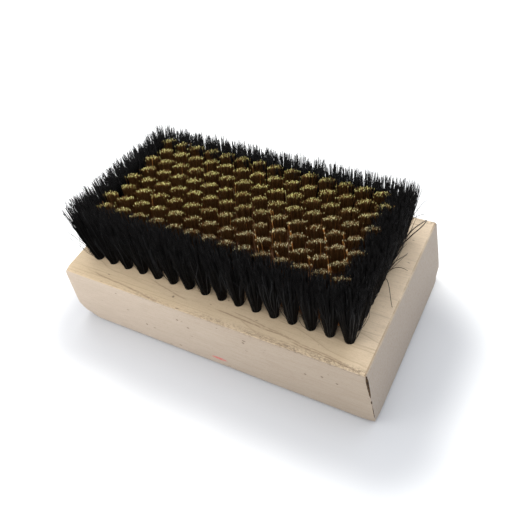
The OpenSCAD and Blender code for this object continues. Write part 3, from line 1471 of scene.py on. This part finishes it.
@dataclass
class TuftRun:
    """One node's tufts: a side of the black ring or a row of brass.

    The sweep starts at an X, takes some way to the left, and is full at a Y.
    """

    node: str
    kind: TuftKind
    field: TuftField
    places: list
    face_z: float
    seed: int
    strays: tuple
    swept: tuple = (-9.0, 30.0, 16.3)
    loose_bend: float = 4.0
    loose_reach: float = 1.18
    wisp_rings: int = 9
    wisp_spread: float = 0.22

    def build(self, root: tuple) -> Thing:
        """Grow every tuft of the run, each on a bound root of points and faces.

        Args:
            root: Points and faces of a bound root.

        Returns:
            The finished piece.
        """
        rng = np.random.default_rng(self.seed)
        sheaf = StrandSheaf(self.kind.sides)
        points, faces = root
        for column, row in self.places:
            centre = self.field.centre(column, row)
            sheaf.add_solid(points + np.array([*centre, 0.0]), faces)
            self._grow(sheaf, rng, centre, self.field.outward(column, row))
        for stray in self.strays:
            self._add_stray(sheaf, rng, stray)
        self.piece = mesh_object(self.node + "_strands", sheaf.mesh(self.node + "_strands"))
        return self.piece

    def dress(self, finish: Material) -> None:
        """Give the run its hair or wire, hang it on the brush's body and hide its node.

        Args:
            finish: The run's material.
        """
        self.piece.data.materials.append(finish)
        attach(self.piece, BODY)
        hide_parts(self.node)

    def _grow(self, sheaf: StrandSheaf, rng: Chance, centre: np.ndarray, outward: np.ndarray) -> None:
        """Grow one tuft out of its root, round the middle of its hole.

        Args:
            sheaf: Takes the strands.
            rng: Source of all chance here.
            centre: Middle of the tuft's hole.
            outward: Direction away from the brush's middle, for the outer ring.
        """
        kind = self.kind
        count = kind.strands
        disc = self._disc(rng)
        cos, sin = math.cos(math.radians(kind.turned)), math.sin(math.radians(kind.turned))
        turn = np.array([[cos, sin], [-sin, cos]])
        base = disc @ turn * (kind.bound_radius - kind.strand_radius)
        tip = self._tips(rng, disc, turn, outward) + self._combed(centre)
        short = np.abs(rng.normal(0, kind.ragged, count)) + kind.dome * disc[:, 0] ** 2
        loose = rng.uniform(0, 1, count) < kind.astray
        short += loose * kind.stunted * rng.uniform(0.1, 1.0, count)
        tip *= np.where(loose & (kind.stunted > 0), self.loose_reach, 1.0)[:, None]
        paths = self._paths(rng, base, tip, kind.height - short, loose)
        paths += np.array([*centre, self.face_z])
        taper = np.clip((np.array(kind.steps) - 0.5) * 2, 0, 1) ** 1.5
        radii = kind.strand_radius * (1.0 - (1.0 - kind.tip_radius_share) * taper)
        tone = rng.uniform(0, 1, count)
        # Loose wires take tones past 1; the brass ones turn partly to lit copper, painted light.
        tone[loose] = 1.0 + tone[loose]
        if kind.slot is Slot.BLACK:
            tone[loose] = np.minimum(tone[loose] - 0.1, 1.0)
        sheaf.add(paths, radii, tone, kind.steps)

    def _disc(self, rng: Chance) -> np.ndarray:
        """Places of the strands, spread evenly over a disc of radius 1.

        Args:
            rng: Source of all chance here.

        Returns:
            X and Y of each strand.
        """
        count = self.kind.strands
        index = np.arange(count)
        reach = np.sqrt((index + 0.5) / count)
        angle = index * GOLDEN_ANGLE + rng.uniform(0, 2 * math.pi)
        disc = np.stack([reach * np.cos(angle), reach * np.sin(angle)], axis=1)
        return disc + rng.normal(0, 0.03, disc.shape)

    def _tips(self, rng: Chance, disc: np.ndarray, turn: np.ndarray, outward: np.ndarray) -> np.ndarray:
        """Tips on the ellipse, scattered, gathered in clumps and leaning outwards.

        Args:
            rng: Source of all chance here.
            disc: Places of the strands on the disc.
            turn: Matrix that turns the ellipse.
            outward: Direction away from the brush's middle, for the outer ring.

        Returns:
            X and Y of each tip.
        """
        kind = self.kind
        count = kind.strands
        widths = np.array(kind.tip_spread) * (1.0 + kind.outer_share * np.abs(outward))
        tip = (disc * widths + rng.normal(0, 1.0, disc.shape) * kind.scatter) @ turn
        if kind.clumps:
            heads = tip[rng.choice(count, kind.clumps, replace=False)]
            gap = np.linalg.norm(tip[:, None, :] - heads[None, :, :], axis=2)
            tip += (heads[gap.argmin(axis=1)] - tip) * kind.clumping
        left, right, front, back = kind.lean
        lean = outward * (right if outward[0] > 0 else left, back if outward[1] > 0 else front)
        return tip + lean * rng.uniform(0.85, 1.15, (count, 1))

    def _combed(self, centre: np.ndarray) -> np.ndarray:
        """How far the comb and the sweep move the tips of a tuft.

        Args:
            centre: Middle of the tuft's hole.

        Returns:
            The shift along X and Y.
        """
        start, way, full_y = self.swept
        leftness = min(1.0, max(0.0, (start - centre[0]) / way))
        depth = min(1.0, abs(centre[1]) / full_y) ** 1.2
        moved = np.array([c[0] + c[1] * centre[0] + c[2] * centre[1] for c in self.kind.comb])
        moved[0] += self.kind.sweep[0 if centre[1] < 0 else 1] * leftness * depth
        return moved

    def _paths(
        self, rng: Chance, base: np.ndarray, tip: np.ndarray, top: np.ndarray, loose: np.ndarray
    ) -> np.ndarray:
        """Paths of a tuft's strands, from under the face up to their tips.

        Args:
            rng: Source of all chance here.
            base: Where each strand leaves the bundle.
            tip: Where each strand ends.
            top: Height of each tip over the face.
            loose: True for each loose strand.

        Returns:
            Strands by rings by 3, about the hole's middle.
        """
        kind = self.kind
        count = kind.strands
        low = -1.0
        bend = rng.normal(0, kind.bow, (count, 2)) * np.where(loose, self.loose_bend, 1.0)[:, None]
        phase = rng.uniform(0, 2 * math.pi, (count, 1))
        flare = kind.flare * rng.uniform(0.9, 1.1)
        rise = (kind.collar - low) / (kind.height - low)
        paths = np.empty((count, len(kind.steps), 3))
        for k, s in enumerate(kind.steps):
            apart = max(0.0, (s - rise) / (1.0 - rise))
            spread = (1.0 - kind.splay) * apart**flare + kind.splay * apart**2.2
            flat = base + (tip - base) * spread + bend * math.sin(math.pi * s) * s
            paths[:, k, :2] = flat + kind.wave * np.sin(phase + 9.0 * s) * min(1.0, 3 * s) * 0.5
            paths[:, k, 2] = low + (top - low) * s
        return paths

    def _add_stray(self, sheaf: StrandSheaf, rng: Chance, stray: Stray) -> None:
        """Add one stray wisp, each strand of it a smooth tube through its points.

        Args:
            sheaf: Takes the strands.
            rng: Source of all chance here.
            stray: The wisp to add.
        """
        share = np.linspace(0.0, 1.0, self.wisp_rings)
        weights = np.array([math.comb(3, k) * share**k * (1 - share) ** (3 - k) for k in range(4)])
        first, second, third, last = np.array(stray.points, dtype=float)
        pull = (-5 * first + 18 * second - 9 * third + 2 * last) / 6
        push = (2 * first - 9 * second + 18 * third - 5 * last) / 6
        path = weights.T @ np.array([first, pull, push, last])
        radii = stray.radius * (1.0 - 0.4 * share**2)
        # A bright wisp takes its tip colour all along: a painted highlight.
        steps = tuple(np.ones(self.wisp_rings) if stray.bright else share)
        for k in range(stray.count):
            aside = rng.normal(0, self.wisp_spread, 3)
            aside[2] = -abs(aside[2]) * 3.0
            moved = path + aside * (share[:, None] if k else 0.0)
            sheaf.add(moved[None], radii, np.array([stray.tone]), steps)


# Whole brush


class SuedeBrush:
    """The brush: block, black ring, brass middle and hidden anchors."""

    end_flare: float = 2.0

    def __init__(self) -> None:
        low, high = (np.array(corner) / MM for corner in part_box("wood_block"))
        low[0] += self.end_flare
        high[0] -= self.end_flare
        length, width, _ = high - low
        self.face_z = high[2]
        self.field = TuftField(length, width)
        self.block = WoodBlock(self.field, low, high, self.end_flare)
        self.runs = self._plan()

    def _plan(self) -> list:
        """List the runs of tufts, one for each node.

        Returns:
            The runs, in the order they are grown.
        """
        last_c = self.field.columns - 1
        last_r = self.field.rows - 1
        sides = {
            "black_tufts_front": [(c, 0) for c in range(last_c + 1)],
            "black_tufts_back": [(c, last_r) for c in range(last_c + 1)],
            "black_tufts_left_end": [(0, r) for r in range(1, last_r)],
            "black_tufts_right_end": [(last_c, r) for r in range(1, last_r)],
        }
        runs = []
        for k, (node, places) in enumerate(sides.items()):
            runs.append(self._run(node, BLACK_TUFT, places, 100 + k, ()))
        for row in range(1, last_r):
            places = [(c, row) for c in range(1, last_c)]
            lane = LaneWires().strays(self.field, BRASS_TUFT.comb, row)
            runs.append(self._run(f"brass_tufts_row_{row}", BRASS_TUFT, places, 200 + row, lane))
        return runs

    def _run(self, node: str, kind: TuftKind, places: list, seed: int, lane: tuple) -> TuftRun:
        """Plan one node's tufts, with the strays that belong to it."""
        strays = (*STRAYS.get(node, ()), *lane)
        return TuftRun(node, kind, self.field, places, self.face_z, seed, strays)

    def build(self) -> None:
        """Make every piece."""
        self.block.build()
        root = BoundRoot(self.face_z + 0.5).template()
        for run in self.runs:
            run.build(root)
            LOG.info("%s grown", run.node)

    def dress(self) -> None:
        """Give every piece its finish."""
        self.block.dress(PaleWood().make(), ShadedTornWood().make())
        finishes = {Slot.BLACK: BlackHair().make(), Slot.BRASS: BrassWire().make()}
        for run in self.runs:
            run.dress(finishes[run.kind.slot])
        steel = AnchorWire().make()
        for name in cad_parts:
            if name.startswith("anchors_row_"):
                anchors = bpy.data.objects[name]
                anchors.data.materials.clear()
                anchors.data.materials.append(steel)


# Studio


@dataclass(frozen=True)
class Softbox:
    """One square area light."""

    name: str
    place: tuple
    target: tuple
    size: float
    power: float
    color: tuple = (1.0, 1.0, 1.0)

    def build(self) -> None:
        """Hang the light, facing its target."""
        light = bpy.data.lights.new(self.name, "AREA")
        light.shape = "SQUARE"
        light.size = self.size
        light.energy = self.power
        light.color = self.color
        thing = bpy.data.objects.new(self.name, light)
        bpy.context.scene.collection.objects.link(thing)
        aim = Vector(self.target) - Vector(self.place)
        thing.location = self.place
        thing.rotation_euler = aim.to_track_quat("-Z", "Y").to_euler()


@dataclass(frozen=True)
class Viewpoint:
    """The photograph's camera, in millimetres of the brush's frame."""

    eye: tuple = (90.0, -112.96, 173.48)
    forward: tuple = (-0.40303, 0.58247, -0.7059)
    up: tuple = (-0.24254, 0.67576, 0.69608)
    picture: float = 510.0
    focal_px: float = 646.2
    centre_px: tuple = (275.0, 230.0)
    sensor_mm: float = 36.0

    def build(self) -> None:
        """Make the camera and look through it."""
        lens = bpy.data.cameras.new("photo_camera")
        lens.sensor_width = self.sensor_mm
        lens.lens = self.focal_px / self.picture * self.sensor_mm
        lens.shift_x = (self.picture / 2 - self.centre_px[0]) / self.picture
        lens.shift_y = (self.centre_px[1] - self.picture / 2) / self.picture
        lens.clip_start = 0.01
        lens.clip_end = 10.0
        ahead = Vector(self.forward).normalized()
        right = ahead.cross(Vector(self.up)).normalized()
        above = right.cross(ahead)
        thing = bpy.data.objects.new("photo_camera", lens)
        axes = Matrix((right, above, -ahead)).transposed()
        thing.matrix_world = Matrix.Translation(Vector(self.eye) * MM) @ axes.to_4x4()
        bpy.context.scene.collection.objects.link(thing)
        bpy.context.scene.camera = thing


@dataclass
class Studio:
    """Pale sweep of paper, soft light from overhead and the left, and the camera."""

    floor_size: float = 6.0
    horizon: float = 0.56
    zenith: float = 2.20
    sky: tuple = (0.95, 0.975, 1.0, 1.0)
    lights: tuple = (
        Softbox("key", (-0.25, 0.28, 0.55), (0.0, 0.0, 0.02), 0.35, 1.0, (1.0, 0.96, 0.90)),
        Softbox("fill", (-0.20, -0.19, 0.12), (-0.04, -0.03, 0.01), 0.16, 0.28, (1.0, 0.95, 0.88)),
    )

    def build(self) -> None:
        """Set up floor, surroundings, lights and camera."""
        bm = bmesh.new()
        bmesh.ops.create_grid(bm, x_segments=8, y_segments=8, size=self.floor_size / 2)
        floor = bmesh_object("floor", bm, 1.0)
        floor.data.materials.append(PaperWithPaintedShade().make())
        self._surroundings()
        for light in self.lights:
            light.build()
        Viewpoint().build()
        bpy.context.scene.view_settings.view_transform = "Standard"

    def _surroundings(self) -> None:
        """White to look at, and soft light that is strongest from overhead."""
        n = Nodes("surroundings", "worlds")
        height = n.math("POWER", n.split(n.own("Generated"))[2], 2.0)
        height.node.use_clamp = True
        strength = n.add("ShaderNodeMapRange")
        for key, value in (("Value", height), ("To Min", self.horizon), ("To Max", self.zenith)):
            n.feed(strength.inputs[key], value)
        soft = self._glow(n, self.sky, strength.outputs["Result"])
        white = self._glow(n, (1.0, 1.0, 1.0, 1.0), 1.0)
        mix = n.add("ShaderNodeMixShader")
        seen = n.add("ShaderNodeLightPath").outputs["Is Camera Ray"]
        for socket, value in zip(mix.inputs, (seen, soft, white)):
            n.feed(socket, value)
        n.feed(n.add("ShaderNodeOutputWorld").inputs["Surface"], mix.outputs[0])
        bpy.context.scene.world = n.owner

    @staticmethod
    def _glow(n: Nodes, color: tuple, strength: Value) -> Socket:
        """Light of one colour from all round.

        Args:
            n: The world's nodes.
            color: Colour of the light.
            strength: Its strength.

        Returns:
            The light's shader.
        """
        glow = n.add("ShaderNodeBackground")
        n.feed(glow.inputs["Color"], color)
        n.feed(glow.inputs["Strength"], strength)
        return glow.outputs[0]


def main() -> None:
    """Build the studio and the brush."""
    logging.basicConfig(level=logging.INFO, format="%(name)s: %(message)s")
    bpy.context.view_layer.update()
    Studio().build()
    brush = SuedeBrush()
    brush.build()
    brush.dress()
    LOG.info("sizes written")


if __name__ == "__main__":
    main()
